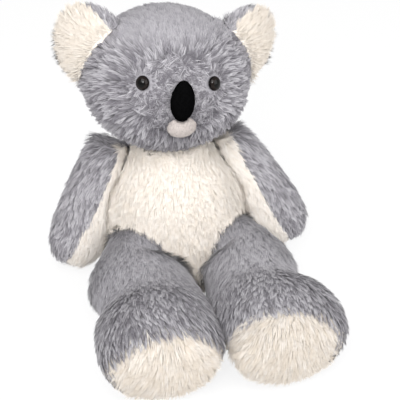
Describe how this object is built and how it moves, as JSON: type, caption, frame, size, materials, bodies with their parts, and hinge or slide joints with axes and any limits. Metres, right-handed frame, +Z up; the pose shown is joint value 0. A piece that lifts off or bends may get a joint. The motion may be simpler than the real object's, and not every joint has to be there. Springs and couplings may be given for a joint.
{
  "type": "plush koala",
  "caption": "Seated plush koala with long-pile skin over stuffing, large cream soles, round two-sided ears, glossy eyes and an oval flocked nose.",
  "frame": {"origin": "middle of the seated koala's box, on the floor", "axes": "+Z up; -Y the way the koala faces; +X the koala's left side"},
  "size_m": [0.338, 0.3772, 0.3671],
  "materials": {
    "grey_fur": "long grey pile, matt",
    "cream_fur": "long cream pile, matt",
    "white_plush": "short off-white plush, matt",
    "polyester_fill": "loose polyester fibre",
    "black_flock": "black flock on a plastic core",
    "dark_gloss": "polished dark brown",
    "white_plastic": "moulded, unseen"
  },
  "bodies": {
    "body": {"body_back": "grey_fur", "belly_panel": "cream_fur", "body_stuffing": "polyester_fill"},
    "neck": {"neck_stuffing": "polyester_fill"},
    "head": {"head_skin": "grey_fur", "head_stuffing": "polyester_fill", "eye_left": "dark_gloss", "eye_right": "dark_gloss", "eye_washer_left": "white_plastic", "eye_washer_right": "white_plastic", "nose": "black_flock", "nose_washer": "white_plastic", "chin_patch": "white_plush", "ear_left_back": "grey_fur", "ear_left_front": "cream_fur", "ear_left_stuffing": "polyester_fill", "ear_right_back": "grey_fur", "ear_right_front": "cream_fur", "ear_right_stuffing": "polyester_fill"},
    "arm_left": {"arm_left_outer": "grey_fur", "arm_left_inner": "cream_fur", "arm_left_stuffing": "polyester_fill"},
    "arm_right": {"arm_right_outer": "grey_fur", "arm_right_inner": "cream_fur", "arm_right_stuffing": "polyester_fill"},
    "leg_left": {"leg_left": "grey_fur", "sole_left": "cream_fur", "leg_left_stuffing": "polyester_fill"},
    "leg_right": {"leg_right": "grey_fur", "sole_right": "cream_fur", "leg_right_stuffing": "polyester_fill"}
  },
  "joints": [
    {"name": "head_turn", "type": "hinge", "parent": "body", "child": "neck", "pos_m": [-0.01664, 0.099, 0.272], "axis": [0, 0, 1], "range_deg": [-30, 30], "stiffness_Nm_per_rad": 1},
    {"name": "head_nod", "type": "hinge", "parent": "neck", "child": "head", "pos_m": [-0.01664, 0.099, 0.272], "axis": [1, 0, 0], "range_deg": [-8, 8], "stiffness_Nm_per_rad": 1},
    {"name": "arm_left_swing", "type": "hinge", "parent": "body", "child": "arm_left", "pos_m": [0.06946, 0.115, 0.156], "axis": [0, -1, 0], "range_deg": [0, 70]},
    {"name": "arm_right_swing", "type": "hinge", "parent": "body", "child": "arm_right", "pos_m": [-0.08854, 0.115, 0.156], "axis": [0, 1, 0], "range_deg": [0, 70]},
    {"name": "leg_left_lift", "type": "hinge", "parent": "body", "child": "leg_left", "pos_m": [0.063, 0.043, 0.0465], "axis": [-0.999, -0.0454, 0], "range_deg": [0, 20]},
    {"name": "leg_right_lift", "type": "hinge", "parent": "body", "child": "leg_right", "pos_m": [-0.063, 0.043, 0.0465], "axis": [-0.999, -0.0454, 0], "range_deg": [0, 20]}
  ]
}
